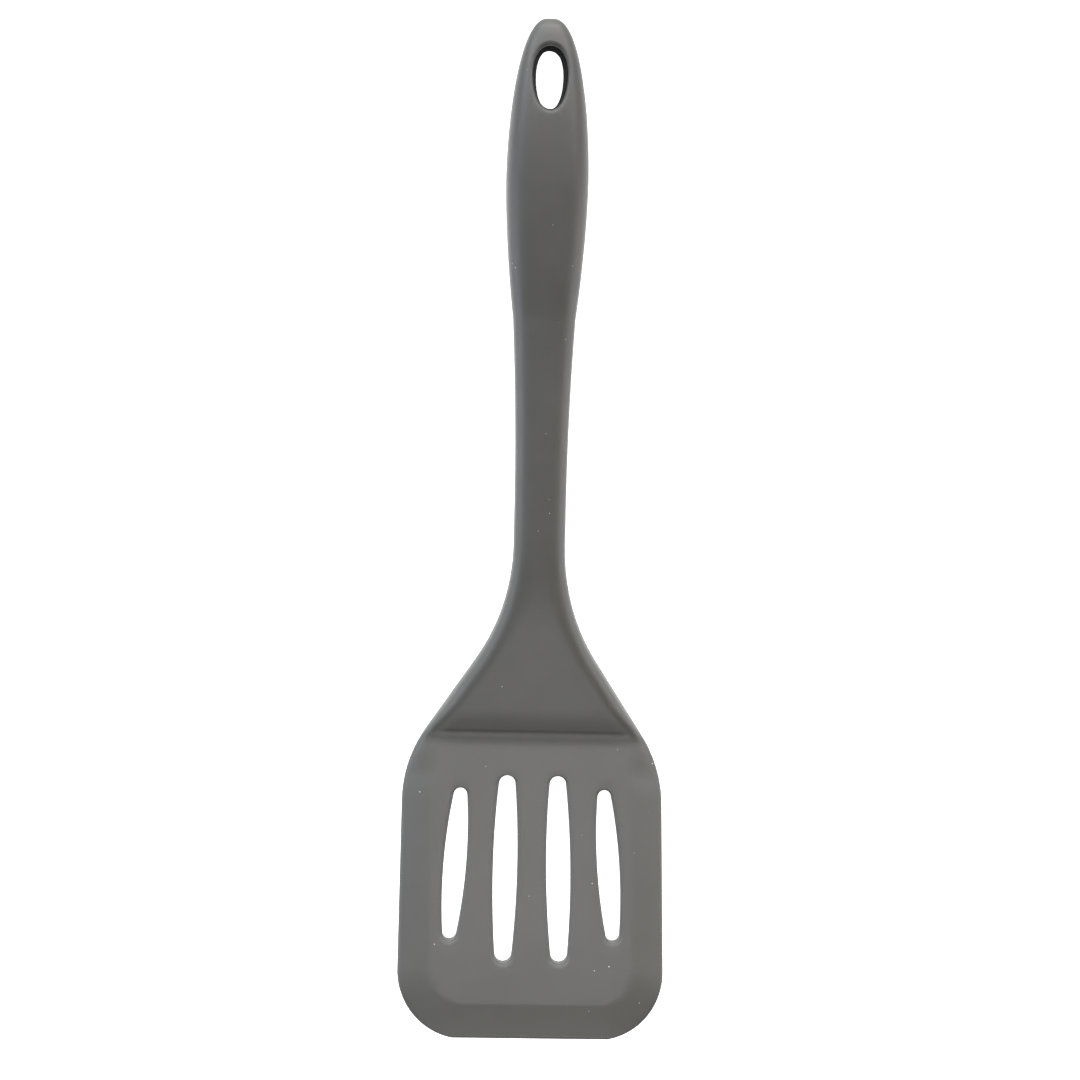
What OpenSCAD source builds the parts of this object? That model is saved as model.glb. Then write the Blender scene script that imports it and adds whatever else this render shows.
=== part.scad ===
// Slotted turner: a black nylon core with one grey silicone cover moulded over it.
// It lies face up on a table. +X is its right side, +Y runs to the handle's end and +Z is up.
// A place on it is given as u, the distance right of the middle, s, the distance from the
// blade's tip along the bent middle line, and h, the height above the sheet that holds its outline.

/* [Side profile] */
// Straight length of the blade, from its tip to the bend at the heel
blade_len = 95.1; // [94.1:0.2:96.1]
// Slope of the blade, which rises from the heel to its tip, in degrees
blade_tilt = 16; // [14:0.5:18]
// Radius of the bend at the heel
heel_r = 10; // [9.5:0.5:12]
// Slope of the flare, which rises from the heel to the neck, in degrees
flare_rise = 15; // [14:0.5:16]
// Straight length of the flare
flare_len = 29; // [27:0.5:31]
// Radius of the bend from the flare into the handle
neck_bend_r = 120; // [110:5:130]
// Slope of the handle, which falls a little to its end, in degrees
handle_drop = 2.5; // [2:0.25:3]

/* [Outline] */
// Length along the middle line, from the blade's tip to the handle's end
total_len = 333.8; // [331.8:0.5:335.8]
// Width of the blade, whose sides are parallel
blade_w = 85; // [83:0.5:87]
// Radius of the tip corners
tip_corner_r = 21.6; // [20.6:0.2:22.6]
// Depth to which the straight tip edge cuts across the corner arcs
tip_cut = 0.3; // [0.2:0.1:0.5]
// Distance from the tip at which the shoulders start
shoulder_at = 75.6; // [74.6:0.2:76.6]
// Radius of the shoulders
shoulder_r = 42.4; // [40.4:0.4:44.4]
// Slope of the flare's sides in the outline, in degrees
flare_splay = 32.9; // [32.1:0.2:33.7]
// Radius of the hollow curve from the flare's sides into the neck
neck_blend_r = 71; // [68:1:74]
// Width of the neck
neck_w = 16.8; // [16.4:0.1:17.2]
// Radius of the long waist above the neck
waist_r = 1070; // [1010:10:1130]
// Width of the grip at its belly
grip_w = 27; // [26:0.2:28]
// Distance of the belly from the handle's end
belly_from_end = 53.2; // [52.2:0.2:54.2]
// Distance from the handle's end of the soft kink where the grip starts
kink_from_end = 98.9; // [97.9:0.2:99.9]

/* [Thickness] */
// Thickness of the blade's raised panel
panel_t = 4; // [3.8:0.1:4.4]
// Thickness of the blade's thin edge
edge_t = 1.4; // [1.2:0.1:1.6]
// Width of the bevel round the panel
bevel_w = 10.3; // [9.5:0.1:11]
// Width of the flare's rounded sides, just above the heel
flare_side_w = 6; // [5.5:0.1:7]
// Height of the ramp where the flare meets the blade
ramp_rise = 3; // [2.4:0.1:3.4]
// Length of that ramp
ramp_len = 16.4; // [15:0.2:17]
// Distance by which that ramp starts before the bend at the heel
ramp_lead = 2.2; // [1.5:0.1:2.5]
// Thickness of the neck
neck_t = 11.5; // [11:0.1:12]
// Height of the grip's belly above the middle line
belly_rise = 8.5; // [8:0.1:9]

/* [Slots] */
// Length of the inner slots
inner_slot_len = 60.3; // [58.3:0.2:61.3]
// Width of the inner slots at their middle
inner_slot_w = 7.9; // [7.4:0.1:8.3]
// End radius of the inner slots
inner_slot_r = 2.7; // [2.4:0.1:3]
// Distance of the inner slots' middle from the blade's middle
inner_slot_u = 8.6; // [8.4:0.1:8.9]
// Distance of the inner slots' middle from the tip
inner_slot_s = 53.9; // [53.1:0.2:54.7]
// Slant of the inner slots, in degrees
inner_slot_fan = 0.7; // [0.4:0.1:1]
// Length of the outer slots
outer_slot_len = 49.2; // [47.2:0.2:50.2]
// Width of the outer slots at their middle
outer_slot_w = 7.3; // [6.9:0.1:7.7]
// End radius of the outer slots
outer_slot_r = 2.2; // [2:0.1:2.4]
// Distance of the outer slots' middle from the blade's middle
outer_slot_u = 24.8; // [24.6:0.1:25]
// Distance of the outer slots' middle from the tip
outer_slot_s = 55.2; // [54.4:0.2:56]
// Slant of the outer slots, in degrees
outer_slot_fan = 3.5; // [3.1:0.1:3.9]

/* [Hang hole] */
// Length of the hang hole at its narrowest, half way through
hole_len = 19.6; // [18.8:0.1:20]
// Width of the hang hole at its narrowest, half way through
hole_w = 8.9; // [8.5:0.1:9.3]
// How much wider and longer the hole is at the handle's faces
hole_flare = 2.2; // [1.8:0.1:2.6]
// Distance of the hole's middle from the handle's end
hole_from_end = 20.4; // [20:0.1:20.8]
// Share by which the hole is wider towards the handle's end
hole_egg = 0.06; // [0:0.01:0.1]

/* [Core] */
// Thickness of the core's plate inside the blade
plate_t = 1.8; // [1.6:0.1:2]
// Silicone under the plate
plate_skin = 1.1; // [1:0.05:1.2]
// Distance of the plate's edge inside the blade's outline
plate_inset = 8.5; // [8.2:0.1:9]
// Silicone between a slot and the plate
slot_skin = 1.5; // [1.2:0.1:1.6]
// Silicone beside the core in the handle
handle_skin = 3; // [2.8:0.1:3.2]
// Silicone beyond the core at the handle's end
nose_skin = 5; // [4.5:0.1:5.5]
// Share of the handle's thickness that the core takes
core_share = 0.72; // [0.68:0.01:0.75]
// Number of pockets along each face of the core's handle
pockets = 8; // [6:1:9]
// Thickness of the ribs between the pockets
rib_t = 2.2; // [1.8:0.1:2.6]
// Width of the rails beside the pockets
rail_w = 2.2; // [2:0.1:2.4]
// Thickness of the web between front and back pockets
web_t = 2.4; // [2:0.1:2.8]
// Diameter of the holes that let the silicone flow through the core's web
web_key_d = 4.5; // [4:0.1:5]
// Diameter of the holes that let the silicone flow through the plate
plate_key_d = 3.2; // [2.8:0.1:3.4]
// Share of the handle's thickness that the core takes round the hang hole
head_share = 0.82; // [0.76:0.01:0.84]

/* [Hidden] */
cover_colour = "#737371";
core_colour = "#1b1b1c";

// Lengths and places along the middle line
deg_per_rad = 180 / PI;
heel_turn = blade_tilt + flare_rise;
neck_turn = flare_rise + handle_drop;
flare_from = blade_len + heel_r * heel_turn / deg_per_rad;
bend_from = flare_from + flare_len;
handle_from = bend_from + neck_bend_r * neck_turn / deg_per_rad;
belly_s = total_len - belly_from_end;
kink_s = total_len - kink_from_end;
hole_s = total_len - hole_from_end;
ramp_from = blade_len - ramp_lead;
ramp_to = ramp_from + ramp_len;

// Places between which the blade's wide bevel turns into the flare's narrower rounded sides
bevel_run = 7;
side_from = shoulder_at + bevel_run;
side_to = ramp_from + ramp_len / 2;

// Outline arcs
corner_s = tip_corner_r - tip_cut;
corner_u = blade_w / 2 - tip_corner_r;
shoulder_w = blade_w / 2;
splay_from_w = shoulder_w - shoulder_r * (1 - cos(flare_splay));
splay_from_s = shoulder_at + shoulder_r * sin(flare_splay);
blend_from_w = neck_w / 2 + neck_blend_r * (1 - cos(flare_splay));
blend_from_s = splay_from_s + (splay_from_w - blend_from_w) / tan(flare_splay);
neck_s = blend_from_s + neck_blend_r * sin(flare_splay);
neck_run = 11;
waist_s = neck_s + neck_run;

// Shape exponents: the grip's swell, the round of the handle's end, the sections' corners, the hang hole
grip_swell = 1.7;
nose_p = 1.85;
nose_q = 2.52;
nose_depth_p = 2.2;
handle_round = 2.3;
bevel_round = 1.1;
hole_round = 2.15;

// Thicknesses above and below the outline's sheet
back_trim = 0.05;
edge_h = edge_t / 2;
panel_h = panel_t - edge_h;
flare_h = panel_h + ramp_rise;
neck_h = neck_t / 2;
waist_depth_r = 3300;
min_panel_share = 0.04;

function ease(t) = let (c = min(max(t, 0), 1)) c * c * (3 - 2 * c);
function mix(a, b, t) = a + (b - a) * t;

// Heading of the middle line at s, in degrees above level
function heading(s) =
    s < blade_len ? -blade_tilt
    : s < flare_from ? -blade_tilt + (s - blade_len) / heel_r * deg_per_rad
    : s < bend_from ? flare_rise
    : s < handle_from ? flare_rise - (s - bend_from) / neck_bend_r * deg_per_rad
    : -handle_drop;

// End of a straight run and of an arc in the side view, as [y, z]
function run(from, angle, length) = from + length * [cos(angle), sin(angle)];
function arc(from, a, b, r) = from + r * [sin(b) - sin(a), cos(a) - cos(b)];

heel_at = run([0, 0], -blade_tilt, blade_len);
flare_at = arc(heel_at, -blade_tilt, flare_rise, heel_r);
bend_at = run(flare_at, flare_rise, flare_len);
handle_at = arc(bend_at, flare_rise, -handle_drop, -neck_bend_r);

// Middle line at s, as [y, z]
function middle(s) =
    s < blade_len ? run([0, 0], -blade_tilt, s)
    : s < flare_from ? arc(heel_at, -blade_tilt, heading(s), heel_r)
    : s < bend_from ? run(flare_at, flare_rise, s - flare_from)
    : s < handle_from ? arc(bend_at, flare_rise, heading(s), -neck_bend_r)
    : run(handle_at, -handle_drop, s - handle_from);

// Point at u, s and h, before the turner is set on the table
function raw_point(u, s, h) =
    let (m = middle(s), a = heading(s))
    [u, m[0] - h * sin(a), m[1] + h * cos(a)];

// Half width of the waist above the neck
function waist_w(s) = neck_w / 2 + pow(max(s - waist_s, 0), 2) / (2 * waist_r);

// Half width at s of the outline, set in by a distance
function half_width(s, set_in) =
    s < corner_s ? corner_u + sqrt(max(pow(tip_corner_r - set_in, 2) - pow(corner_s - s, 2), 0))
    : s < shoulder_at ? blade_w / 2 - set_in
    : s < shoulder_at + (shoulder_r - set_in) * sin(flare_splay)
        ? shoulder_w - shoulder_r + sqrt(pow(shoulder_r - set_in, 2) - pow(s - shoulder_at, 2))
    : s < neck_s - (neck_blend_r + set_in) * sin(flare_splay)
        ? splay_from_w - set_in / cos(flare_splay) - (s - splay_from_s) * tan(flare_splay)
    : s < neck_s ? neck_w / 2 + neck_blend_r - sqrt(pow(neck_blend_r + set_in, 2) - pow(neck_s - s, 2))
    : s < kink_s ? waist_w(s) - set_in
    : s < belly_s ? grip_half_width(s) - set_in
    : (grip_w / 2 - set_in) * nose_curve((s - belly_s) / (belly_from_end - set_in), nose_p, nose_q);

function grip_half_width(s) =
    mix(grip_w / 2, waist_w(kink_s), pow((belly_s - s) / (belly_s - kink_s), grip_swell));
function nose_curve(t, p, q) = pow(max(1 - pow(t, p), 0), 1 / q);

// Cosine of the outline's slope at s
function outline_cos(s) =
    s < shoulder_at ? 1
    : s < splay_from_s ? sqrt(1 - pow((s - shoulder_at) / shoulder_r, 2))
    : s < blend_from_s ? cos(flare_splay)
    : s < neck_s ? sqrt(1 - pow((neck_s - s) / neck_blend_r, 2))
    : 1;

// Depth of the handle from the middle line to its front or back at s
function handle_depth(s, belly) =
    let (kink = neck_h + pow(kink_s - waist_s, 2) / (2 * waist_depth_r))
    s < kink_s ? neck_h + pow(max(s - waist_s, 0), 2) / (2 * waist_depth_r)
    : s < belly_s ? mix(belly, kink, pow((belly_s - s) / (belly_s - kink_s), grip_swell))
    : belly * nose_curve((s - belly_s) / belly_from_end, nose_depth_p, nose_depth_p);

// Back depth from the heel to the neck
function heel_depth(s) = mix(edge_h, neck_h, ease((s - ramp_from) / (waist_s - ramp_from)));

// The grip's belly reaches down to the table that the heel stands on
heel_low = min([for (s = [blade_len : 0.5 : bend_from]) raw_point(0, s, -heel_depth(s))[2]]);
belly_drop = (middle(belly_s)[1] - heel_low) / cos(handle_drop);

// Height of the front, and depth of the back, from the outline's sheet at s
function front(s) =
    s < ramp_to ? mix(panel_h, flare_h, ease((s - ramp_from) / ramp_len))
    : s < waist_s ? mix(flare_h, neck_h, ease((s - ramp_to) / (waist_s - ramp_to)))
    : handle_depth(s, belly_rise);
function back(s) = s < waist_s ? heel_depth(s) : handle_depth(s, belly_drop);

// Share of the way from the bevelled blade to the round-sided flare
function side_change(s) = ease((s - side_from) / (side_to - side_from));

// Width of the bevel or rounded side at s
function side_w(s) =
    s < ramp_to ? mix(bevel_w, flare_side_w, side_change(s))
    : mix(flare_side_w, bevel_w, ease((s - ramp_to) / (waist_s - ramp_to)));

// Half width of the flat between the bevels or rounded sides at s
function flat_half_width(s) =
    s < bevel_w ? corner_u + sqrt(tip_cut * (2 * tip_corner_r - tip_cut - 2 * s))
    : s < corner_s ? half_width(s, bevel_w)
    : let (w = half_width(s, 0)) max(w - side_w(s) / outline_cos(s), min_panel_share * w);

// Share of the way out from the flat to the edge, for a place at u and s
function side_share(u, s) =
    s < corner_s
        ? let (to_arc = tip_corner_r - norm([max(u - corner_u, 0), corner_s - s]))
          1 - max(min(s, u > corner_u ? to_arc : s, bevel_w), 0) / bevel_w
        : let (w = half_width(s, 0), f = flat_half_width(s)) min(max((u - f) / (w - f), 0), 1);

// Height over the outline's sheet of a face whose middle is at height top; the straight tip edge is blunt
tip_blunt = 0.5;
on_outline = 0.001;
function face_height(u, s, top) =
    let (
        share = side_share(u, s),
        n = mix(bevel_round, handle_round, side_change(s)),
        to_edge = min(max(1 - (1 - share) * side_w(s) / edge_h, 0), 1),
        blunt = s < tip_cut && u < half_width(s, 0) - on_outline ? tip_blunt : 0)
    (top - edge_h) * pow(max(1 - pow(share, n), 0), 1 / n) + edge_h * max(sqrt(1 - to_edge * to_edge), blunt);

// Section of the cover at s: steps from the right edge over the front to the left edge, then back
side_steps = 6;
function cover_u(s, k) = mix(flat_half_width(s), half_width(s, 0), sin(90 * k / side_steps));
function front_point(s, k, side) =
    let (u = cover_u(s, k)) raw_point(side * u, s, face_height(u, s, front(s)));
function back_point(s, k, side) =
    let (u = cover_u(s, k)) raw_point(side * u, s, -face_height(u, s, back(s)));
function cover_ring(s) = concat(
    [for (k = [side_steps : -1 : 0]) front_point(s, k, 1)],
    [for (k = [0 : side_steps]) front_point(s, k, -1)],
    [for (k = [side_steps - 1 : -1 : 0]) back_point(s, k, -1)],
    [for (k = [0 : side_steps - 1]) back_point(s, k, 1)]);

// Places of the sections: the thin edge, the tip corners, the shoulders, the heel, the flare and the handle
corner_from = acos(corner_s / tip_corner_r);
nose_last = 86.5;
cover_stations = concat(
    [0, edge_h / 4, edge_h],
    [for (k = [2 : 4]) corner_s - tip_corner_r * cos(mix(corner_from, 90, k / 9))],
    [bevel_w],
    [for (k = [6 : 9]) corner_s - tip_corner_r * cos(mix(corner_from, 90, k / 9))],
    [for (k = [0 : 4]) mix(shoulder_at, ramp_from, k / 4)],
    [for (k = [1 : 12]) mix(ramp_from, ramp_to, k / 12)],
    [for (k = [1 : 9]) mix(ramp_to, waist_s, k / 9)],
    [for (k = [1 : 4]) mix(waist_s, kink_s, k / 4)],
    [for (k = [1 : 6]) mix(kink_s, belly_s, k / 6)],
    [for (k = [1 : 10]) belly_s + belly_from_end * sin(nose_last * k / 10)]);
cover_rings = [for (s = cover_stations) cover_ring(s)];

// Half width, front and back of the core at s
core_lead = 4;
core_trail = 12;
core_from = blade_len - core_lead;
core_to = bend_from + core_trail;
function core_half_width(s) =
    half_width(s, mix(plate_inset, handle_skin, ease((s - core_from) / (core_to - core_from))));
plate_low = plate_skin - edge_h;
plate_high = plate_low + plate_t;
function bar_share(s) = ease((s - core_from) / (bend_from - core_from));
head_run = 8;
head_to = hole_s - hole_len / 2;
head_from = head_to - head_run;
core_nose = belly_from_end - nose_skin;
function nose_depth(s, length) = nose_curve(max(s - belly_s, 0) / length, nose_depth_p, nose_depth_p);
function thick_share(s) =
    mix(core_share, head_share, ease((s - head_from) / (head_to - head_from)))
        * nose_depth(s, core_nose) / nose_depth(s, belly_from_end);
function core_front(s) = mix(plate_high, thick_share(s) * front(s), bar_share(s));
function core_back(s) = mix(plate_low, -thick_share(s) * back(s), bar_share(s));

// Section of the core at s: a bar with chamfered corners
plate_chamfer = 0.4;
bar_chamfer = 1.6;
head_chamfer = 2.4;
function core_ring(s) =
    let (
        w = core_half_width(s),
        t = core_front(s),
        b = core_back(s),
        bar = mix(bar_chamfer, head_chamfer, ease((s - head_from) / (head_to - head_from))),
        c = min(mix(plate_chamfer, bar, bar_share(s)), w / 3, (t - b) / 3))
    [for (p = [
        [w, t - c], [w - c, t], [c - w, t], [-w, t - c],
        [-w, b + c], [c - w, b], [w - c, b], [w, b + c]])
        raw_point(p[0], s, p[1])];
plate_corner_r = tip_corner_r - plate_inset;
plate_corner_from = acos((corner_s - plate_inset) / plate_corner_r);
core_stations = concat(
    [for (k = [0 : 8]) corner_s - plate_corner_r * cos(mix(plate_corner_from, 90, k / 8))],
    [for (k = [0 : 4]) mix(shoulder_at, core_from, k / 4)],
    [for (k = [1 : 18]) mix(core_from, core_to, k / 18)],
    [for (k = [1 : 3]) mix(core_to, waist_s, k / 3)],
    [for (k = [1 : 3]) mix(waist_s, kink_s, k / 3)],
    [for (k = [1 : 5]) mix(kink_s, belly_s, k / 5)],
    [for (k = [1 : 11]) belly_s + core_nose * sin(nose_last * k / 11)]);
core_rings = [for (s = core_stations) core_ring(s)];

// Shift that sets the turner's lowest point on the table and its middle at the origin
cover_points = [for (ring = cover_rings) for (p = ring) p];
low_y = min([for (p = cover_points) p[1]]);
high_y = max([for (p = cover_points) p[1]]);
low_z = min([for (p = cover_points) p[2]]);
set_down = [0, -(low_y + high_y) / 2, -low_z];

// Solid through a row of rings that have the same number of points
module skin(rings) {
    n = len(rings[0]);
    last = len(rings) - 1;
    points = [for (ring = rings) for (p = ring) p];
    sides = [for (i = [0 : last - 1]) for (k = [0 : n - 1])
        let (a = i * n + k, b = i * n + (k + 1) % n)
        each [[a, b, a + n], [b, b + n, a + n]]];
    caps = [[for (k = [n - 1 : -1 : 0]) k], [for (k = [0 : n - 1]) last * n + k]];
    polyhedron(points, concat(sides, caps), convexity = 8);
}

// Frame of the straight blade and of the straight handle: x is u, y is s and z is h
module on_blade() {
    translate(set_down) rotate([-blade_tilt, 0, 0]) children();
}
module on_handle() {
    translate(set_down + [0, handle_at[0], handle_at[1]])
        rotate([-handle_drop, 0, 0])
            translate([0, -handle_from, 0])
                children();
}

// Outline of a slot with bowed sides and round ends, from four tangent arcs
side_arc_steps = 5;
end_arc_steps = 7;
function arc_points(centre, r, from, to, steps) =
    [for (k = [0 : steps]) let (a = mix(from, to, k / steps)) centre + r * [cos(a), sin(a)]];
function slot_points(length, width, r) =
    let (
        reach = length / 2 - r,
        side_r = (reach * reach + width * width / 4 - r * r) / (width - 2 * r),
        turn = asin(reach / (side_r - r)),
        centre = [width / 2 - side_r, 0])
    concat(
        arc_points(centre, side_r, -turn, turn, side_arc_steps),
        [for (k = [1 : end_arc_steps - 1])
            let (a = mix(turn, 180 - turn, k / end_arc_steps)) [r * cos(a), reach + r * sin(a)]],
        arc_points(-centre, side_r, 180 - turn, 180 + turn, side_arc_steps),
        [for (k = [1 : end_arc_steps - 1])
            let (a = mix(180 + turn, 360 - turn, k / end_arc_steps)) [r * cos(a), r * sin(a) - reach]]);

// Slots as [u, s, slant, length, width, end radius] on the right side of the blade
inner_slot = [inner_slot_u, inner_slot_s, inner_slot_fan, inner_slot_len, inner_slot_w, inner_slot_r];
outer_slot = [outer_slot_u, outer_slot_s, outer_slot_fan, outer_slot_len, outer_slot_w, outer_slot_r];

// A slot grown by a margin and seen from above; its outline lies half way through the blade
slot_mid_h = (panel_h - edge_h + back_trim) / 2;
function slot_plan(slot, side, grow) =
    let (fan = side * slot[2])
    [for (p = slot_points(slot[3] + 2 * grow, slot[4] + 2 * grow, slot[5] + grow))
        let (
            u = side * slot[0] + p[0] * cos(fan) - p[1] * sin(fan),
            s = slot[1] + p[0] * sin(fan) + p[1] * cos(fan))
        [u, s * cos(blade_tilt) + slot_mid_h * sin(blade_tilt)]];

// The four slots run straight up through the blade, the way that the mould opens
slot_cut = 40;
module slots(grow) {
    for (slot = [inner_slot, outer_slot], side = [-1, 1])
        translate(set_down - [0, 0, slot_cut])
            linear_extrude(2 * slot_cut)
                polygon(slot_plan(slot, side, grow));
}

// Outline of the hang hole, a little blunter than an ellipse and wider towards the handle's end
hole_steps = 40;
function hole_share(v) = sign(v) * pow(abs(v), 2 / hole_round);
function hole_points(length, width) =
    [for (k = [0 : hole_steps - 1])
        let (a = 360 * k / hole_steps, across = hole_share(cos(a)), along = hole_share(sin(a)))
        [width / 2 * across * (1 + hole_egg * along), length / 2 * along]];

// The hang hole narrows from both faces to its middle
hole_reach = 12;
module hang_hole() {
    face_h = (belly_rise + belly_drop) * core_share / 2;
    on_handle()
        translate([0, hole_s, 0])
            skin([for (h = [hole_reach, 0, -hole_reach])
                let (grow = hole_flare * abs(h) / face_h)
                [for (p = hole_points(hole_len + grow, hole_w + grow)) [p[0], p[1], h]]]);
}

// Pockets in both faces of the core's handle, and the hole through the web of each
pocket_gap = 2;
pocket_from = handle_from + pocket_gap;
pocket_to = head_from + pocket_gap;
pocket_pitch = (pocket_to - pocket_from) / pockets;
pocket_depth = 20;
module handle_pockets() {
    on_handle()
        for (k = [0 : pockets - 1]) {
            from = pocket_from + k * pocket_pitch;
            to = from + pocket_pitch - rib_t;
            w_from = core_half_width(from) - rail_w;
            w_to = core_half_width(to) - rail_w;
            for (face = [web_t / 2, -web_t / 2 - pocket_depth])
                translate([0, 0, face])
                    linear_extrude(pocket_depth)
                        polygon([[-w_from, from], [w_from, from], [w_to, to], [-w_to, to]]);
            translate([0, (from + to) / 2, -web_t])
                cylinder(d = web_key_d, h = 2 * web_t, $fn = 32);
        }
}

// Holes through the plate: rows beyond the slots' ends and down the middle
plate_keys = [
    [0, 16.5], [-17, 16.5], [17, 16.5], [-31, 24.5], [31, 24.5],
    [0, 34], [0, 53.5], [0, 73],
    [0, 91], [-9, 91], [9, 91], [-18, 89], [18, 89], [-27, 86], [27, 86]
];
module plate_key_holes() {
    on_blade()
        for (p = plate_keys)
            translate([p[0], p[1], -slot_cut / 2])
                cylinder(d = plate_key_d, h = slot_cut, $fn = 32);
}

// One moulding: plate, flare, ribbed handle and eyelet
module core_form() {
    difference() {
        translate(set_down) skin(core_rings);
        slots(slot_skin);
        plate_key_holes();
        handle_pockets();
        hang_hole();
    }
}

// The blade's back is one plane
module blade_back_cut() {
    on_blade()
        translate([-blade_w, -blade_w, -edge_h + back_trim - slot_cut])
            cube([2 * blade_w, blade_w + ramp_from, slot_cut]);
}

module nylon_core() {
    color(core_colour) core_form();
}

module silicone_cover() {
    color(cover_colour)
        difference() {
            translate(set_down) skin(cover_rings);
            blade_back_cut();
            slots(0);
            hang_hole();
            core_form();
        }
}

nylon_core();
silicone_cover();
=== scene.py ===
import math

import bpy
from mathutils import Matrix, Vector


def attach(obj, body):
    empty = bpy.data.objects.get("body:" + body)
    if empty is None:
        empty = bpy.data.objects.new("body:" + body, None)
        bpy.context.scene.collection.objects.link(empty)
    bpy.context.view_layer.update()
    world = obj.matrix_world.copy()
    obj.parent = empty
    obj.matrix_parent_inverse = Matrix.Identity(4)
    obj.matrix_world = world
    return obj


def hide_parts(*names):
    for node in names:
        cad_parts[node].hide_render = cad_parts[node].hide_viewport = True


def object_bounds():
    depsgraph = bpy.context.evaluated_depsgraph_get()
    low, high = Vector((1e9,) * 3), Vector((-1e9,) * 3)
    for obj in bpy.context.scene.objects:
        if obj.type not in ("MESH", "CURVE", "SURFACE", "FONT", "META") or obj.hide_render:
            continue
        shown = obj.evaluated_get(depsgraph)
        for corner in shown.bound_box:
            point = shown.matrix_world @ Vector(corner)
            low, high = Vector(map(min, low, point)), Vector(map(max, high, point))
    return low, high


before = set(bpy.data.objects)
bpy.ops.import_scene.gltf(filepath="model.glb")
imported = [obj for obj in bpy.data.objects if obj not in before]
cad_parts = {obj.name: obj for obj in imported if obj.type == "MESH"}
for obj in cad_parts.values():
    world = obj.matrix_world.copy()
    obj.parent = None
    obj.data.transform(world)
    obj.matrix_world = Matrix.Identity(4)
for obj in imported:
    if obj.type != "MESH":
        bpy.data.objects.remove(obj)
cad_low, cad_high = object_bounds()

# Slotted turner: a black nylon core with one grey silicone cover moulded over it.
# Sizes are in millimetres, as in the part's source, and MM turns them to metres.
# A place on the cover is u, the distance right of the middle, s, the distance from the blade's tip
# along the bent middle line, and h, the height above the sheet that holds the outline.
MM = 0.001

# Side profile
BLADE_LEN = 95.1
BLADE_TILT = math.radians(16)
HEEL_R = 10
FLARE_RISE = math.radians(15)
FLARE_LEN = 29
NECK_BEND_R = 120
HANDLE_DROP = math.radians(2.5)

# Outline
TOTAL_LEN = 333.8
BLADE_W = 85
TIP_CORNER_R = 21.6
TIP_CUT = 0.3
SHOULDER_AT = 75.6
SHOULDER_R = 42.4
FLARE_SPLAY = math.radians(32.9)
NECK_BLEND_R = 71
NECK_W = 16.8
NECK_RUN = 11
WAIST_R = 1070
GRIP_W = 27
BELLY_FROM_END = 53.2
KINK_FROM_END = 98.9

# Thickness
PANEL_T = 4
EDGE_T = 1.4
BEVEL_W = 10.3
BEVEL_RUN = 7
FLARE_SIDE_W = 6
RAMP_LEAD = 2.2
RAMP_RISE = 3
RAMP_LEN = 16.4
NECK_T = 11.5
BELLY_RISE = 8.5
WAIST_DEPTH_R = 3300
BACK_TRIM = 0.05

# Slots: their middle's u and s, slant, length, width and end radius, of the inner and outer ones
INNER_SLOT = (8.6, 53.9, math.radians(0.7), 60.3, 7.9, 2.7)
OUTER_SLOT = (24.8, 55.2, math.radians(3.5), 49.2, 7.3, 2.2)

# Hang hole
HOLE_LEN = 19.6
HOLE_W = 8.9
HOLE_FACE_GROW = 2.3
HOLE_FROM_END = 20.4
HOLE_EGG = 0.06

# Rounded rims: how far a rim reaches out over the face and down into the opening
SLOT_TIP_RIM = (1.7, 0.7)
SLOT_SIDE_RIM = (1.4, 0.7)
SLOT_HEEL_RIM = (0.5, 0.5)
SLOT_BACK_RIM = (0.5, 0.5)
HOLE_RIM = (1.5, 1.3)

# The lip round the hang hole lies this much nearer to the grip than the hole in the core
HOLE_LIP_SHIFT = 0.45

# Shape exponents of the grip's swell, the handle's end, the sections' corners and the hang hole,
# and the least share of the width that stays flat
GRIP_SWELL = 1.7
NOSE_P = 1.85
NOSE_Q = 2.52
NOSE_DEPTH_P = 2.2
HANDLE_ROUND = 2.3
BEVEL_ROUND = 1.1
HOLE_ROUND = 2.15
MIN_PANEL_SHARE = 0.04

# Places along the middle line
FLARE_FROM = BLADE_LEN + HEEL_R * (BLADE_TILT + FLARE_RISE)
BEND_FROM = FLARE_FROM + FLARE_LEN
HANDLE_FROM = BEND_FROM + NECK_BEND_R * (FLARE_RISE + HANDLE_DROP)
BELLY_S = TOTAL_LEN - BELLY_FROM_END
KINK_S = TOTAL_LEN - KINK_FROM_END
HOLE_S = TOTAL_LEN - HOLE_FROM_END
RAMP_FROM = BLADE_LEN - RAMP_LEAD
RAMP_TO = RAMP_FROM + RAMP_LEN
SIDE_FROM = SHOULDER_AT + BEVEL_RUN
SIDE_TO = RAMP_FROM + RAMP_LEN / 2

# Outline arcs
CORNER_S = TIP_CORNER_R - TIP_CUT
CORNER_U = BLADE_W / 2 - TIP_CORNER_R
SHOULDER_W = BLADE_W / 2
SPLAY_FROM_W = SHOULDER_W - SHOULDER_R * (1 - math.cos(FLARE_SPLAY))
SPLAY_FROM_S = SHOULDER_AT + SHOULDER_R * math.sin(FLARE_SPLAY)
BLEND_FROM_W = NECK_W / 2 + NECK_BLEND_R * (1 - math.cos(FLARE_SPLAY))
BLEND_FROM_S = SPLAY_FROM_S + (SPLAY_FROM_W - BLEND_FROM_W) / math.tan(FLARE_SPLAY)
NECK_S = BLEND_FROM_S + NECK_BLEND_R * math.sin(FLARE_SPLAY)
WAIST_S = NECK_S + NECK_RUN

# Heights above and below the outline's sheet
EDGE_H = EDGE_T / 2
PANEL_H = PANEL_T - EDGE_H
FLARE_H = PANEL_H + RAMP_RISE
NECK_H = NECK_T / 2
BACK_H = EDGE_H - BACK_TRIM


def clamp(value, low=0.0, high=1.0):
    return min(max(value, low), high)


def ease(t):
    c = clamp(t)
    return c * c * (3 - 2 * c)


def mix(a, b, t):
    return a + (b - a) * t


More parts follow.
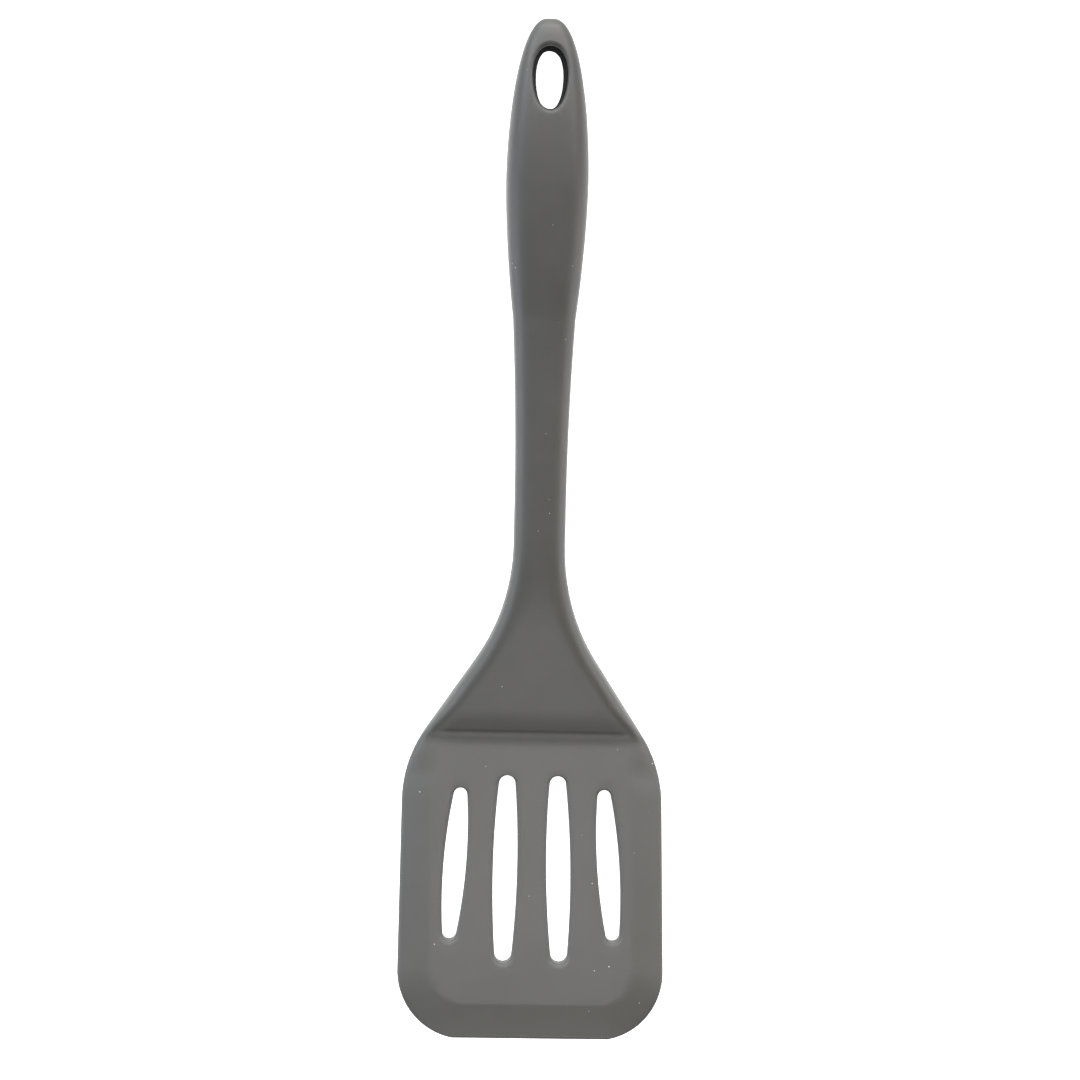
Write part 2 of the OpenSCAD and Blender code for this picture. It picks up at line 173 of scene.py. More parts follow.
# The bent middle line
def heading(s):
    """Slope of the middle line at s, in radians above level."""
    if s < BLADE_LEN:
        return -BLADE_TILT
    if s < FLARE_FROM:
        return -BLADE_TILT + (s - BLADE_LEN) / HEEL_R
    if s < BEND_FROM:
        return FLARE_RISE
    if s < HANDLE_FROM:
        return FLARE_RISE - (s - BEND_FROM) / NECK_BEND_R
    return -HANDLE_DROP


def run(start, angle, length):
    return start[0] + length * math.cos(angle), start[1] + length * math.sin(angle)


def arc(start, a, b, r):
    return start[0] + r * (math.sin(b) - math.sin(a)), start[1] + r * (math.cos(a) - math.cos(b))


HEEL_AT = run((0, 0), -BLADE_TILT, BLADE_LEN)
FLARE_AT = arc(HEEL_AT, -BLADE_TILT, FLARE_RISE, HEEL_R)
BEND_AT = run(FLARE_AT, FLARE_RISE, FLARE_LEN)
HANDLE_AT = arc(BEND_AT, FLARE_RISE, -HANDLE_DROP, -NECK_BEND_R)


def middle(s):
    """Middle line at s in the side view, as (y, z)."""
    if s < BLADE_LEN:
        return run((0, 0), -BLADE_TILT, s)
    if s < FLARE_FROM:
        return arc(HEEL_AT, -BLADE_TILT, heading(s), HEEL_R)
    if s < BEND_FROM:
        return run(FLARE_AT, FLARE_RISE, s - FLARE_FROM)
    if s < HANDLE_FROM:
        return arc(BEND_AT, FLARE_RISE, heading(s), -NECK_BEND_R)
    return run(HANDLE_AT, -HANDLE_DROP, s - HANDLE_FROM)


def raw_point(u, s, h):
    """Point at u, s and h, before the turner is set on the table."""
    y, z = middle(s)
    a = heading(s)
    return u, y - h * math.sin(a), z + h * math.cos(a)


# The outline
def waist_w(s):
    return NECK_W / 2 + max(s - WAIST_S, 0) ** 2 / (2 * WAIST_R)


def nose_curve(t, p, q):
    return max(1 - clamp(t) ** p, 0) ** (1 / q)


def half_width(s, set_in=0.0):
    """Half width of the outline at s, set in by a distance on the blade."""
    if s < CORNER_S:
        return CORNER_U + math.sqrt(max((TIP_CORNER_R - set_in) ** 2 - (CORNER_S - s) ** 2, 0))
    if s < SHOULDER_AT:
        return BLADE_W / 2 - set_in
    if s < SPLAY_FROM_S:
        return SHOULDER_W - SHOULDER_R + math.sqrt(SHOULDER_R ** 2 - (s - SHOULDER_AT) ** 2)
    if s < BLEND_FROM_S:
        return SPLAY_FROM_W - (s - SPLAY_FROM_S) * math.tan(FLARE_SPLAY)
    if s < NECK_S:
        return NECK_W / 2 + NECK_BLEND_R - math.sqrt(NECK_BLEND_R ** 2 - (NECK_S - s) ** 2)
    if s < KINK_S:
        return waist_w(s)
    if s < BELLY_S:
        return mix(GRIP_W / 2, waist_w(KINK_S), ((BELLY_S - s) / (BELLY_S - KINK_S)) ** GRIP_SWELL)
    return GRIP_W / 2 * nose_curve((s - BELLY_S) / BELLY_FROM_END, NOSE_P, NOSE_Q)


def outline_cos(s):
    """Cosine of the outline's slope at s."""
    if s < SHOULDER_AT or s > NECK_S:
        return 1.0
    if s < SPLAY_FROM_S:
        return math.sqrt(1 - ((s - SHOULDER_AT) / SHOULDER_R) ** 2)
    if s < BLEND_FROM_S:
        return math.cos(FLARE_SPLAY)
    return math.sqrt(1 - ((NECK_S - s) / NECK_BLEND_R) ** 2)


def side_change(s):
    """Share of the way from the bevelled blade to the round-sided flare."""
    return ease((s - SIDE_FROM) / (SIDE_TO - SIDE_FROM))


def side_w(s):
    """Width of the bevel or rounded side at s."""
    if s < RAMP_TO:
        return mix(BEVEL_W, FLARE_SIDE_W, side_change(s))
    return mix(FLARE_SIDE_W, BEVEL_W, ease((s - RAMP_TO) / (WAIST_S - RAMP_TO)))


def flat_half_width(s):
    """Half width of the flat between the bevels or rounded sides at s."""
    if s < BEVEL_W:
        return CORNER_U + math.sqrt(TIP_CUT * (2 * TIP_CORNER_R - TIP_CUT - 2 * s))
    if s < CORNER_S:
        return half_width(s, BEVEL_W)
    w = half_width(s)
    return max(w - side_w(s) / outline_cos(s), MIN_PANEL_SHARE * w)


# The two faces
def handle_depth(s, belly):
    """Depth of the handle from the middle line to a face whose belly is that deep."""
    if s < KINK_S:
        return NECK_H + max(s - WAIST_S, 0) ** 2 / (2 * WAIST_DEPTH_R)
    if s < BELLY_S:
        kink = NECK_H + (KINK_S - WAIST_S) ** 2 / (2 * WAIST_DEPTH_R)
        return mix(belly, kink, ((BELLY_S - s) / (BELLY_S - KINK_S)) ** GRIP_SWELL)
    return belly * nose_curve((s - BELLY_S) / BELLY_FROM_END, NOSE_DEPTH_P, NOSE_DEPTH_P)


def heel_depth(s):
    return mix(EDGE_H, NECK_H, ease((s - RAMP_FROM) / (WAIST_S - RAMP_FROM)))


def lowest_heel():
    steps = 200
    places = [mix(BLADE_LEN, BEND_FROM, k / steps) for k in range(steps + 1)]
    return min(raw_point(0, s, -heel_depth(s))[2] for s in places)


# The grip's belly reaches down to the table that the heel stands on
BELLY_DROP = (middle(BELLY_S)[1] - lowest_heel()) / math.cos(HANDLE_DROP)


def front(s):
    if s < RAMP_TO:
        return mix(PANEL_H, FLARE_H, ease((s - RAMP_FROM) / RAMP_LEN))
    if s < WAIST_S:
        return mix(FLARE_H, NECK_H, ease((s - RAMP_TO) / (WAIST_S - RAMP_TO)))
    return handle_depth(s, BELLY_RISE)


def back(s):
    return heel_depth(s) if s < WAIST_S else handle_depth(s, BELLY_DROP)


def side_share(u, s):
    """Share of the way out from the flat to the edge."""
    if s < CORNER_S:
        inside = s
        if u > CORNER_U:
            inside = min(s, TIP_CORNER_R - math.hypot(u - CORNER_U, CORNER_S - s))
        return 1 - clamp(inside, 0, BEVEL_W) / BEVEL_W
    w, flat = half_width(s), flat_half_width(s)
    return clamp((u - flat) / (w - flat))


def face_height(u, s, top):
    """Height over the outline's sheet of a face whose middle is at height top."""
    share = side_share(abs(u), s)
    n = mix(BEVEL_ROUND, HANDLE_ROUND, side_change(s))
    to_edge = clamp(1 - (1 - share) * side_w(s) / EDGE_H)
    body = (top - EDGE_H) * max(1 - share ** n, 0) ** (1 / n)
    return body + EDGE_H * math.sqrt(1 - to_edge * to_edge)


def front_height(u, s):
    return face_height(u, s, front(s))


def back_height(u, s):
    depth = face_height(u, s, back(s))
    return -min(depth, BACK_H) if s < RAMP_FROM else -depth + BACK_TRIM * ease((WAIST_S - s) / RAMP_LEN)


# Rows along the cover and columns across it
TIP_ROWS = 30
PANEL_ROWS = 60
RAMP_ROWS = 34
FLARE_ROWS = 50
NECK_ROWS = 36
GRIP_ROWS = 32
NOSE_ROWS = 48
EDGE_ROWS = 4
FLAT_COLUMNS = 16
SIDE_COLUMNS = 13
COLUMNS = FLAT_COLUMNS + SIDE_COLUMNS

# Rows that lie closer together than this are one row
SAME_ROW = 0.03

# Steps from an opening's cell to its rim, round the rim, down its wall and along its outline
SKIRT_STEPS = 4
RIM_STEPS = 6
WALL_STEPS = 4
SLOT_ARC_STEPS = 160
HOLE_OUTLINE_STEPS = 640

# Turning by a radian counts as this length when points are spread round an opening
BEND_WEIGHT = 1.6

# Cells of the grid that hold the openings
SLOT_CELL_FROM = 15
SLOT_CELL_TO = 92.5
HOLE_CELL_FROM = 298
HOLE_CELL_TO = 328.3
HOLE_CELL_COLUMNS = 16

QUARTER_TURN = math.pi / 2
SQUARE_CORNERS = ((-1, -1), (1, -1), (1, 1), (-1, 1))


def row_places():
    """Values of s for the rows, from the tip to the last one before the handle's end."""
    corner_from = math.acos(CORNER_S / TIP_CORNER_R)
    places = [CORNER_S - TIP_CORNER_R * math.cos(mix(corner_from, QUARTER_TURN, k / TIP_ROWS))
              for k in range(TIP_ROWS + 1)]
    places += [EDGE_H * (1 - math.cos(QUARTER_TURN * k / EDGE_ROWS)) for k in range(1, EDGE_ROWS + 1)]
    places.append(BEVEL_W)
    stretches = (
        (CORNER_S, RAMP_FROM, PANEL_ROWS),
        (RAMP_FROM, RAMP_TO, RAMP_ROWS),
        (RAMP_TO, WAIST_S, FLARE_ROWS),
        (WAIST_S, KINK_S, NECK_ROWS),
        (KINK_S, BELLY_S, GRIP_ROWS))
    for start, end, count in stretches:
        places += [mix(start, end, k / count) for k in range(1, count + 1)]
    places += [BELLY_S + BELLY_FROM_END * math.sin(QUARTER_TURN * k / NOSE_ROWS)
               for k in range(1, NOSE_ROWS)]
    rows = []
    for s in sorted(places):
        if not rows or s - rows[-1] > SAME_ROW:
            rows.append(s)
    return rows


def column_u(s, k):
    """u of column k, counted from the middle to the right edge."""
    w, flat = half_width(s), flat_half_width(s)
    if k <= FLAT_COLUMNS:
        on_blade = flat * k / FLAT_COLUMNS
    else:
        on_blade = mix(flat, w, math.sin(QUARTER_TURN * (k - FLAT_COLUMNS) / SIDE_COLUMNS))
    on_handle = w * math.sin(QUARTER_TURN * k / COLUMNS)
    return mix(on_blade, on_handle, ease((s - RAMP_TO) / (BEND_FROM - RAMP_TO)))


# Outlines of the openings
def slot_outline(length, width, r, count):
    """Slot with bowed sides and round ends, from tangent arcs, starting at its right side's middle."""
    reach = length / 2 - r
    side_r = (reach * reach + width * width / 4 - r * r) / (width - 2 * r)
    turn = math.asin(reach / (side_r - r))
    bow = width / 2 - side_r
    arcs = (
        (bow, 0, side_r, 0, turn),
        (0, reach, r, turn, math.pi - turn),
        (-bow, 0, side_r, math.pi - turn, math.pi + turn),
        (0, -reach, r, math.pi + turn, 2 * math.pi - turn),
        (bow, 0, side_r, -turn, 0))
    points = []
    for x, y, radius, a, b in arcs:
        for k in range(count):
            angle = mix(a, b, k / count)
            points.append((x + radius * math.cos(angle), y + radius * math.sin(angle)))
    return points


def hole_share(v):
    return math.copysign(abs(v) ** (2 / HOLE_ROUND), v)


def hole_outline(length, width, count):
    """Hang hole, a little blunter than an ellipse and wider towards the handle's end."""
    points = []
    for k in range(count):
        a = 2 * math.pi * k / count
        across, along = hole_share(math.cos(a)), hole_share(math.sin(a))
        points.append((width / 2 * across * (1 + HOLE_EGG * along), length / 2 * along))
    return points


def spread(points, corners, counts):
    """Points round a closed outline, in steps of even length and turning between its corners."""
    n = len(points)
    loop = []
    for start, end, count in zip(corners, corners[1:] + corners[:1], counts):
        measure = [0.0]
        for k in range((end - start) % n):
            a, b, d = (Vector(points[(start + k + j) % n]) for j in range(3))
            turn = abs((b - a).angle_signed(d - b, 0.0))
            measure.append(measure[-1] + (b - a).length + BEND_WEIGHT * turn)
        k = 0
        for step in range(count):
            goal = measure[-1] * step / count
            while measure[k + 1] < goal:
                k += 1
            t = (goal - measure[k]) / (measure[k + 1] - measure[k])
            a, b = points[(start + k) % n], points[(start + k + 1) % n]
            loop.append((mix(a[0], b[0], t), mix(a[1], b[1], t)))
    return loop


def furthest_point(points, x, y):
    """Index of the point that lies furthest along a direction."""
    return max(range(len(points)), key=lambda k: points[k][0] * x + points[k][1] * y)


def outward(loop):
    """Unit vectors that point away from the opening, one for each point of its loop."""
    n = len(loop)
    result = []
    for k in range(n):
        along = Vector(loop[(k + 1) % n]) - Vector(loop[k - 1])
        result.append(Vector((along.y, -along.x)).normalized())
    return result


class Cover:
    """The cover's points and faces: a front and a back with one outline, and openings through both."""

    def __init__(self):
        self.points = []
        self.faces = []
        self.rows = row_places()

    def add(self, u, s, h):
        self.points.append(raw_point(u, s, h))
        return len(self.points) - 1

    def make_grid(self, holes):
        """Points on the rows and columns of both faces, without those inside the holes' cells."""
        self.front_grid = []
        self.back_grid = []
        for i, s in enumerate(self.rows):
            front_row, back_row = {}, {}
            for k in range(-COLUMNS, COLUMNS + 1):
                if any(i0 < i < i1 and k0 < k < k1 for i0, i1, k0, k1 in holes):
                    continue
                u = math.copysign(column_u(s, abs(k)), k)
                on_outline = i == 0 or abs(k) == COLUMNS
                front_row[k] = self.add(u, s, 0 if on_outline else front_height(u, s))
                back_row[k] = front_row[k] if on_outline else self.add(u, s, back_height(u, s))
            self.front_grid.append(front_row)
            self.back_grid.append(back_row)

    def fill_grid(self, holes):
        """Faces between the rows and columns, and the handle's end."""
        for i in range(len(self.rows) - 1):
            for k in range(-COLUMNS, COLUMNS):
                if any(i0 <= i < i1 and k0 <= k < k1 for i0, i1, k0, k1 in holes):
                    continue
                a, b = self.front_grid[i], self.front_grid[i + 1]
                self.faces.append((a[k], a[k + 1], b[k + 1], b[k]))
                a, b = self.back_grid[i], self.back_grid[i + 1]
                self.faces.append((a[k], b[k], b[k + 1], a[k + 1]))
        pole = self.add(0, TOTAL_LEN, 0)
        for k in range(-COLUMNS, COLUMNS):
            a, b = self.front_grid[-1], self.back_grid[-1]
            self.faces.append((a[k], a[k + 1], pole))
            self.faces.append((b[k + 1], b[k], pole))

    def cell_border(self, grid, hole):
        """Grid points round a hole's cell, from its tip-side left corner, towards the right."""
        i0, i1, k0, k1 = hole
        border = [(i0, k) for k in range(k0, k1)] + [(i, k1) for i in range(i0, i1)]
        border += [(i1, k) for k in range(k1, k0, -1)] + [(i, k0) for i in range(i1, i0, -1)]
        places = [(math.copysign(column_u(self.rows[i], abs(k)), k), self.rows[i]) for i, k in border]
        return [grid[i][k] for i, k in border], places

    def band(self, outer, inner, upward):
        """Faces between two loops of the same length."""
        n = len(outer)
        for k in range(n):
            face = (outer[k], outer[(k + 1) % n], inner[(k + 1) % n], inner[k])
            self.faces.append(face if upward else face[::-1])

    def rim(self, grid, hole, loop, height, reaches, drops, upward):
        """Face round an opening, from its cell's border to its rounded rim, and the rim's inner loop."""
        outer, border = self.cell_border(grid, hole)
        away = outward(loop)
        skirt = [Vector(p) + n * r for p, n, r in zip(loop, away, reaches)]
        for step in range(1, SKIRT_STEPS + 1):
            t = step / SKIRT_STEPS
            places = [Vector(b).lerp(p, t) for b, p in zip(border, skirt)]
            ring = [self.add(p.x, p.y, height(p.x, p.y)) for p in places]
            self.band(outer, ring, upward)
            outer = ring
        sign = -1 if upward else 1
        for step in range(1, RIM_STEPS + 1):
            a = QUARTER_TURN * step / RIM_STEPS
            ring = []
            for p, n, reach, drop in zip(loop, away, reaches, drops):
                place = Vector(p) + n * reach * (1 - math.sin(a))
                down = drop * (1 - math.cos(a))
                ring.append(self.add(place.x, place.y, height(place.x, place.y) + sign * down))
            self.band(outer, ring, upward)
            outer = ring
        return outer

    def wall(self, top, bottom):
        """Faces down an opening's wall, from the front rim's inner loop to the back rim's."""
        outer = top
        for step in range(1, WALL_STEPS):
            t = step / WALL_STEPS
            ring = []
            for a, b in zip(top, bottom):
                self.points.append(tuple(Vector(self.points[a]).lerp(Vector(self.points[b]), t)))
                ring.append(len(self.points) - 1)
            self.band(outer, ring, True)
            outer = ring
        self.band(outer, bottom, True)


def row_at(rows, s):
    return min(range(len(rows)), key=lambda i: abs(rows[i] - s))


def slot_cells(rows):
    """Each slot's cell as (first row, last row, first column, last column), its side and its sizes."""
    i0, i1 = row_at(rows, SLOT_CELL_FROM), row_at(rows, SLOT_CELL_TO)
    half = FLAT_COLUMNS // 2
    return [
        ((i0, i1, -FLAT_COLUMNS, -half), -1, OUTER_SLOT),
        ((i0, i1, -half, 0), -1, INNER_SLOT),
        ((i0, i1, 0, half), 1, INNER_SLOT),
        ((i0, i1, half, FLAT_COLUMNS), 1, OUTER_SLOT)]


def hole_cell(rows):
    i0, i1 = row_at(rows, HOLE_CELL_FROM), row_at(rows, HOLE_CELL_TO)
    return i0, i1, -HOLE_CELL_COLUMNS, HOLE_CELL_COLUMNS


def corner_loop(points, hole):
    """The outline's points matched to the border of its cell, corner to corner."""
    i0, i1, k0, k1 = hole
    half_length = max(p[1] for p in points)
    half_breadth = max(p[0] for p in points)
    corners = [furthest_point(points, x * half_length, y * half_breadth) for x, y in SQUARE_CORNERS]
    return spread(points, corners, (k1 - k0, i1 - i0, k1 - k0, i1 - i0))


def slot_loop(hole, side, sizes):
    """Loop of one slot in u and s, half way through the blade."""
    u, s, fan, length, width, r = sizes
    loop = corner_loop(slot_outline(length, width, r, SLOT_ARC_STEPS), hole)
    cos, sin = math.cos(side * fan), math.sin(side * fan)
    return [(side * u + x * cos - y * sin, s + x * sin + y * cos) for x, y in loop]


def slot_rim(away):
    """Reach and drop of a slot's front rim where the direction out of the opening is away."""
    end = SLOT_TIP_RIM if away.y < 0 else SLOT_HEEL_RIM
    return [mix(a, b, ease(abs(away.y))) for a, b in zip(SLOT_SIDE_RIM, end)]


def even_rims(rim, loop):
    """Reaches and drops of a rim that is the same all round its loop."""
    reach, drop = rim
    return [reach] * len(loop), [drop] * len(loop)


def cut_slot(cover, hole, side, sizes):
    """One slot. Its wall runs straight up, as the mould opens, so its back lies nearer the heel."""
    loop = slot_loop(hole, side, sizes)
    shift = (PANEL_H + BACK_H) * math.tan(BLADE_TILT) / 2
    front_loop = [(u, s - shift) for u, s in loop]
    back_loop = [(u, s + shift) for u, s in loop]
    front_rims = zip(*[slot_rim(away) for away in outward(front_loop)])
    back_rims = even_rims(SLOT_BACK_RIM, loop)
    top = cover.rim(cover.front_grid, hole, front_loop, front_height, *front_rims, True)
    bottom = cover.rim(cover.back_grid, hole, back_loop, back_height, *back_rims, False)
    cover.wall(top, bottom)


def cut_hang_hole(cover, hole):
    """Hang hole: the silicone rounds over into it and stops on the core's eyelet."""
    points = hole_outline(HOLE_LEN + HOLE_FACE_GROW, HOLE_W + HOLE_FACE_GROW, HOLE_OUTLINE_STEPS)
    loop = [(x, HOLE_S - HOLE_LIP_SHIFT + y) for x, y in corner_loop(points, hole)]
    rims = even_rims(HOLE_RIM, loop)
    top = cover.rim(cover.front_grid, hole, loop, front_height, *rims, True)
    bottom = cover.rim(cover.back_grid, hole, loop, back_height, *rims, False)
    cover.wall(top, bottom)


def set_down(points):
    """Points in metres, set on the floor in the middle of the solid model's box, and kept inside it."""
    low = [min(p[axis] for p in points) for axis in range(3)]
    high = [max(p[axis] for p in points) for axis in range(3)]
    to_y = (cad_low.y + cad_high.y) / 2 - (low[1] + high[1]) / 2 * MM
    to_z = cad_low.z - low[2] * MM
    moved = [(x * MM, y * MM + to_y, z * MM + to_z) for x, y, z in points]
    return [[clamp(value, *limits) for value, *limits in zip(p, cad_low, cad_high)] for p in moved]


def silicone_cover():
    """The cover as one smooth skin, which stands for the solid of the same name."""
    cover = Cover()
    slots = slot_cells(cover.rows)
    eye = hole_cell(cover.rows)
    holes = [cell for cell, side, sizes in slots] + [eye]
    cover.make_grid(holes)
    cover.fill_grid(holes)
    for cell, side, sizes in slots:
        cut_slot(cover, cell, side, sizes)
    cut_hang_hole(cover, eye)
    mesh = bpy.data.meshes.new("silicone_skin")
    mesh.from_pydata(set_down(cover.points), [], cover.faces)
    mesh.validate()
    mesh.polygons.foreach_set("use_smooth", [True] * len(mesh.polygons))
    mesh.materials.append(moulded_silicone())
    piece = bpy.data.objects.new("silicone_skin", mesh)
    bpy.context.scene.collection.objects.link(piece)
    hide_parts("silicone_cover")
    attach(piece, "root")


def nylon_core():
    """The core, which stays the solid that it is and gets its material."""
    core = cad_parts["nylon_core"]
    core.data.materials.clear()
    core.data.materials.append(moulded_nylon())


# Materials
def linear(hex_colour):
    """Linear RGBA of an sRGB hex colour."""
    channels = [int(hex_colour[k:k + 2], 16) / 255 for k in (1, 3, 5)]
    return [c / 12.92 if c <= 0.04045 else ((c + 0.055) / 1.055) ** 2.4 for c in channels] + [1.0]


def add_node(tree, kind, settings=None, values=None, links=None):
    """Adds a node with its settings, the values of its sockets, and links from other nodes' sockets."""
    node = tree.nodes.new(kind)
    for name, value in (settings or {}).items():
        setattr(node, name, value)
    for name, value in (values or {}).items():
        node.inputs[name].default_value = value
    for name, source in (links or {}).items():
        tree.links.new(source, node.inputs[name])
    return node


def new_material(name):
    material = bpy.data.materials.new(name)
    material.use_nodes = True
    material.node_tree.nodes.clear()
    return material, material.node_tree


def per_metre(size_mm):
    """Pattern scale that repeats about every size_mm."""
    return 1 / (size_mm * MM)


# Sizes of the surfaces' patterns in millimetres
CLOUD_SIZE = 26
SMEAR_SIZE = 9
FIBRE_SIZE = 0.8
FIBRE_DEPTH = 0.05

# The blasted mould's grain is about 0.05 mm wide and deep, and is drawn ten times wider so that it shows
BLAST_DEPTH = 0.05
BLAST_SIZE = 0.5

# Dust: spacing of the grains in millimetres, and how far from a grain's middle it fades out and is whole
DUST_CELL = 5.2
DUST_EDGE = 0.22
DUST_HEART = 0.06

# A noise pattern's values lie mostly between these two
NOISE_LOW = 0.3
NOISE_HIGH = 0.7


# Moulded grey silicone rubber: pigmented right through, opaque and dull, with an even satin from the
# blasted mould, faint cloudy wear from handling, and specks of dust that cling to it.
def moulded_silicone():
    material, tree = new_material("moulded_grey_silicone")
    place = add_node(tree, "ShaderNodeTexCoord").outputs["Object"]
    cloud = add_node(tree, "ShaderNodeTexNoise",
                     values={"Scale": per_metre(CLOUD_SIZE), "Detail": 3, "Roughness": 0.55},
                     links={"Vector": place})
    grey = add_node(tree, "ShaderNodeMix", {"data_type": "RGBA"},
                    {"A": linear("#393835"), "B": linear("#3f3e3b")}, {"Factor": cloud.outputs["Fac"]})
    # One grain of dust in each cell: those that lie on the surface show, some fainter than others
    dust = add_node(tree, "ShaderNodeTexVoronoi", {"feature": "F1"},
                    {"Scale": per_metre(DUST_CELL)}, {"Vector": place})
    grain = add_node(tree, "ShaderNodeMapRange",
                     values={"From Min": DUST_EDGE / DUST_CELL, "From Max": DUST_HEART / DUST_CELL},
                     links={"Value": dust.outputs["Distance"]})
    uneven = add_node(tree, "ShaderNodeMath", {"operation": "MULTIPLY"},
                      links={0: grain.outputs["Result"], 1: dust.outputs["Color"]})
    dusted = add_node(tree, "ShaderNodeMix", {"data_type": "RGBA"}, {"B": linear("#d8d8d2")},
                      {"Factor": uneven.outputs["Value"], "A": grey.outputs["Result"]})
    smear = add_node(tree, "ShaderNodeTexNoise",
                     values={"Scale": per_metre(SMEAR_SIZE), "Detail": 4, "Roughness": 0.6},
                     links={"Vector": place})
    satin = add_node(tree, "ShaderNodeMapRange",
                     values={"From Min": NOISE_LOW, "From Max": NOISE_HIGH, "To Min": 0.4, "To Max": 0.46},
                     links={"Value": smear.outputs["Fac"]})
    blast = add_node(tree, "ShaderNodeTexNoise",
                     values={"Scale": per_metre(BLAST_SIZE), "Detail": 2, "Roughness": 0.5},
                     links={"Vector": place})
    bump = add_node(tree, "ShaderNodeBump", values={"Strength": 0.06, "Distance": BLAST_DEPTH * MM},
                    links={"Height": blast.outputs["Fac"]})
    shader = add_node(tree, "ShaderNodeBsdfPrincipled", values={"IOR": 1.41},
                      links={"Base Color": dusted.outputs["Result"], "Roughness": satin.outputs["Result"],
                             "Normal": bump.outputs["Normal"]})
    add_node(tree, "ShaderNodeOutputMaterial", links={"Surface": shader.outputs["BSDF"]})
    return material


# Moulded black nylon filled with glass fibre: matt and close to black, so the hang hole's wall stays dark
# even where the eye looks along it, with a faint mottle from the fibres.
def moulded_nylon():
    material, tree = new_material("moulded_black_nylon")
    place = add_node(tree, "ShaderNodeTexCoord").outputs["Object"]
    fibre = add_node(tree, "ShaderNodeTexNoise",
                     values={"Scale": per_metre(FIBRE_SIZE), "Detail": 3, "Roughness": 0.6},
                     links={"Vector": place})
    black = add_node(tree, "ShaderNodeMix", {"data_type": "RGBA"},
                     {"A": linear("#0a0a0b"), "B": linear("#121213")}, {"Factor": fibre.outputs["Fac"]})
    gloss = add_node(tree, "ShaderNodeMapRange",
                     values={"From Min": NOISE_LOW, "From Max": NOISE_HIGH, "To Min": 0.75, "To Max": 0.9},
                     links={"Value": fibre.outputs["Fac"]})
    bump = add_node(tree, "ShaderNodeBump", values={"Strength": 0.1, "Distance": FIBRE_DEPTH * MM},
                    links={"Height": fibre.outputs["Fac"]})
    shader = add_node(tree, "ShaderNodeBsdfPrincipled", values={"IOR": 1.53, "Specular IOR Level": 0.08},
                      links={"Base Color": black.outputs["Result"], "Roughness": gloss.outputs["Result"],
                             "Normal": bump.outputs["Normal"]})
    add_node(tree, "ShaderNodeOutputMaterial", links={"Surface": shader.outputs["BSDF"]})
    return material


# White painted table: even and matt, with a glow of its own so that it stays white round the turner.
def table_white():
    material, tree = new_material("matt_white_table")
    shader = add_node(tree, "ShaderNodeBsdfPrincipled",
                      values={"Base Color": linear("#f4f4f3"), "Roughness": 0.9, "IOR": 1.45,
                              "Emission Color": linear("#ffffff"), "Emission Strength": 1.0})
    add_node(tree, "ShaderNodeOutputMaterial", links={"Surface": shader.outputs["BSDF"]})
    return material


# Table, in metres: wide enough to fill a low view, and a hair below the turner
FLOOR_HALF = 90.0
FLOOR_GAP = 0.00005


def floor():
    corners = [(x * FLOOR_HALF, y * FLOOR_HALF, cad_low.z - FLOOR_GAP) for x, y in SQUARE_CORNERS]
    mesh = bpy.data.meshes.new("table")
    mesh.from_pydata(corners, [], [(0, 1, 2, 3)])
    mesh.materials.append(table_white())
    table = bpy.data.objects.new("table", mesh)
    bpy.context.scene.collection.objects.link(table)


# Soft lights: bearing from the handle's end and slope from straight up in degrees, distance in metres,
# y of the place that they stand round, size in metres, watts and colour. The big far windows and panels
# give the blade and the handle's end their brightness and leave the grip dark. The near softbox lifts the
# flare and the tip's bevel, the strip over the heel fills the crease there, and the small panels at the
# sides draw the light edges of the handle.
LIGHTS = {
    "far_high_window": (0, 36, 9.0, 0.0, (7.8, 1.8), 465, "#ffffff"),
    "far_low_window": (0, 68, 9.0, 0.0, (7.8, 1.8), 880, "#ffffff"),
    "far_left_panel": (-45, 62, 7.5, 0.0, (3.0, 2.4), 350, "#e6efff"),
    "far_right_panel": (45, 57, 7.5, 0.0, (3.0, 2.0), 240, "#ffffff"),
    "near_softbox": (180, 40, 0.7, -0.1, (0.7, 0.55), 3.8, "#ffffff"),
    "crease_strip": (180, 6, 0.13, -0.072, (0.12, 0.03), 0.025, "#ffffff"),
    "left_grip_panel": (-90, 70, 0.7, 0.06, (0.3, 0.4), 2.5, "#e6efff"),
    "right_grip_panel": (90, 72, 0.7, 0.06, (0.3, 0.4), 2.0, "#ffffff"),
}


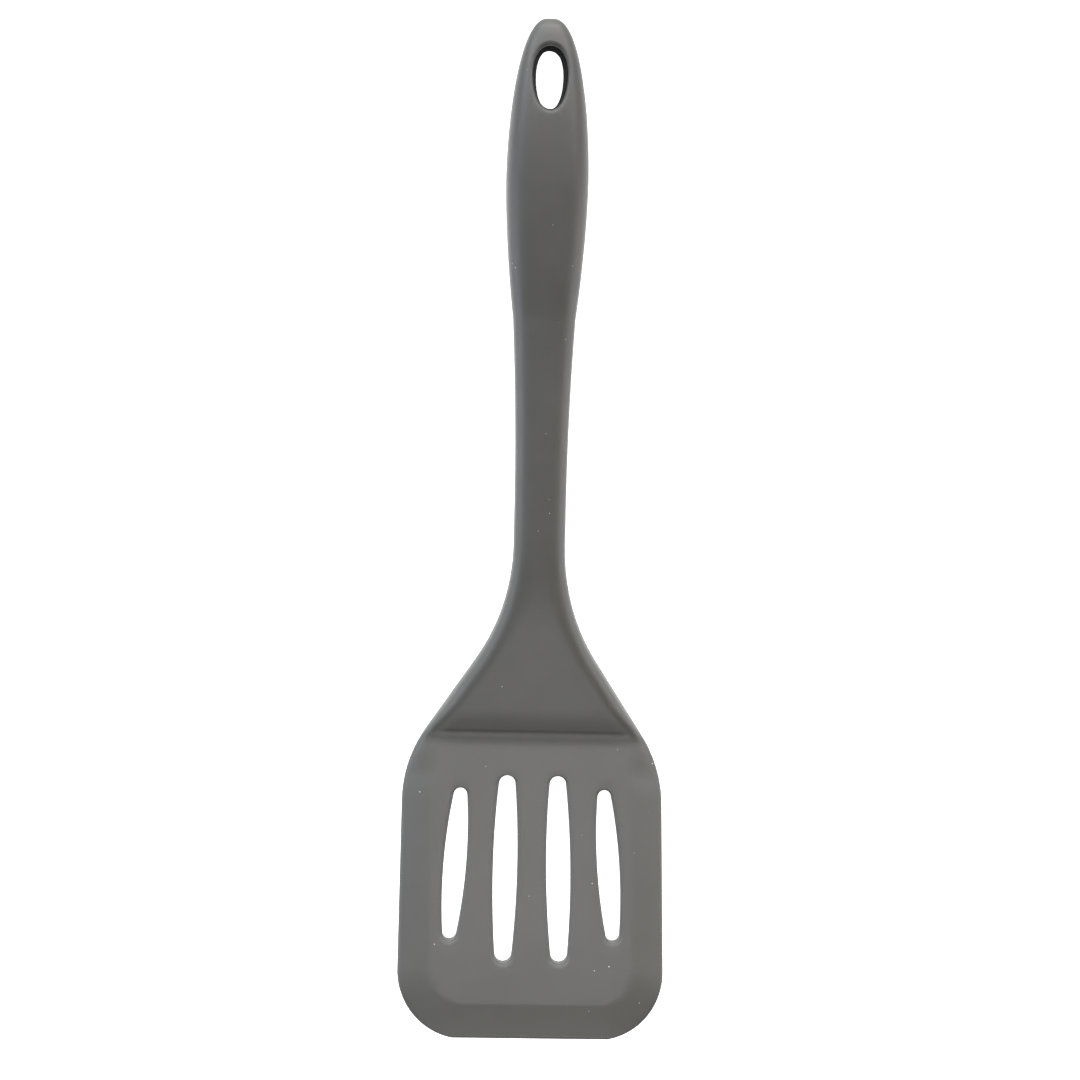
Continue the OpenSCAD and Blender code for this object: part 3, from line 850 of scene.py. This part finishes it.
def softbox(name, bearing, slope, distance, y, size, watts, colour):
    """Rectangular soft light aimed at the place that it stands round."""
    a, b = math.radians(slope), math.radians(bearing)
    towards = Vector((math.sin(b) * math.sin(a), math.cos(b) * math.sin(a), math.cos(a)))
    lamp = bpy.data.lights.new(name, "AREA")
    lamp.shape = "RECTANGLE"
    lamp.size, lamp.size_y = size
    lamp.energy = watts
    lamp.color = linear(colour)[:3]
    box = bpy.data.objects.new(name, lamp)
    box.location = Vector((0, y, 0)) + towards * distance
    box.rotation_euler = towards.to_track_quat("Z", "Y").to_euler()
    box.visible_camera = False
    bpy.context.scene.collection.objects.link(box)


def lights():
    for name, settings in LIGHTS.items():
        softbox(name, *settings)
    world = bpy.data.worlds.new("dark_studio")
    world.use_nodes = True
    world.node_tree.nodes["Background"].inputs["Strength"].default_value = 0.0
    bpy.context.scene.world = world


# Camera straight above, a little to the left, as the photograph is taken, with its distance in metres
# and its sensor in millimetres
CAMERA_DISTANCE = 0.7012
CAMERA_YAW = math.radians(3)
CAMERA_ROLL = math.radians(1.398)
SENSOR = 36

# The photograph's side, its focal length and the place of the model's origin in it, in pixels
PHOTO_SIDE = 1080
PHOTO_FOCAL_PX = 2126.6
MIDDLE_PX = (537.8, 520.9)


def camera():
    across = Vector((math.cos(CAMERA_YAW), 0, math.sin(CAMERA_YAW)))
    along = Vector((0, 1, 0))
    toward = Vector((-math.sin(CAMERA_YAW), 0, math.cos(CAMERA_YAW)))
    right = across * math.cos(CAMERA_ROLL) + along * math.sin(CAMERA_ROLL)
    up = along * math.cos(CAMERA_ROLL) - across * math.sin(CAMERA_ROLL)
    pixel = CAMERA_DISTANCE / PHOTO_FOCAL_PX
    centre = PHOTO_SIDE / 2
    data = bpy.data.cameras.new("camera")
    data.sensor_width = SENSOR
    data.lens = PHOTO_FOCAL_PX * SENSOR / PHOTO_SIDE
    eye = bpy.data.objects.new("camera", data)
    place = toward * CAMERA_DISTANCE
    place += right * (centre - MIDDLE_PX[0]) * pixel
    place += up * (MIDDLE_PX[1] - centre) * pixel
    turn = eye.matrix_world.to_3x3()
    turn.col[0], turn.col[1], turn.col[2] = right, up, toward
    eye.matrix_world = turn.to_4x4()
    eye.location = place
    bpy.context.scene.collection.objects.link(eye)
    bpy.context.scene.camera = eye


camera()
silicone_cover()
nylon_core()
floor()
lights()
bpy.context.scene.view_settings.view_transform = "Standard"
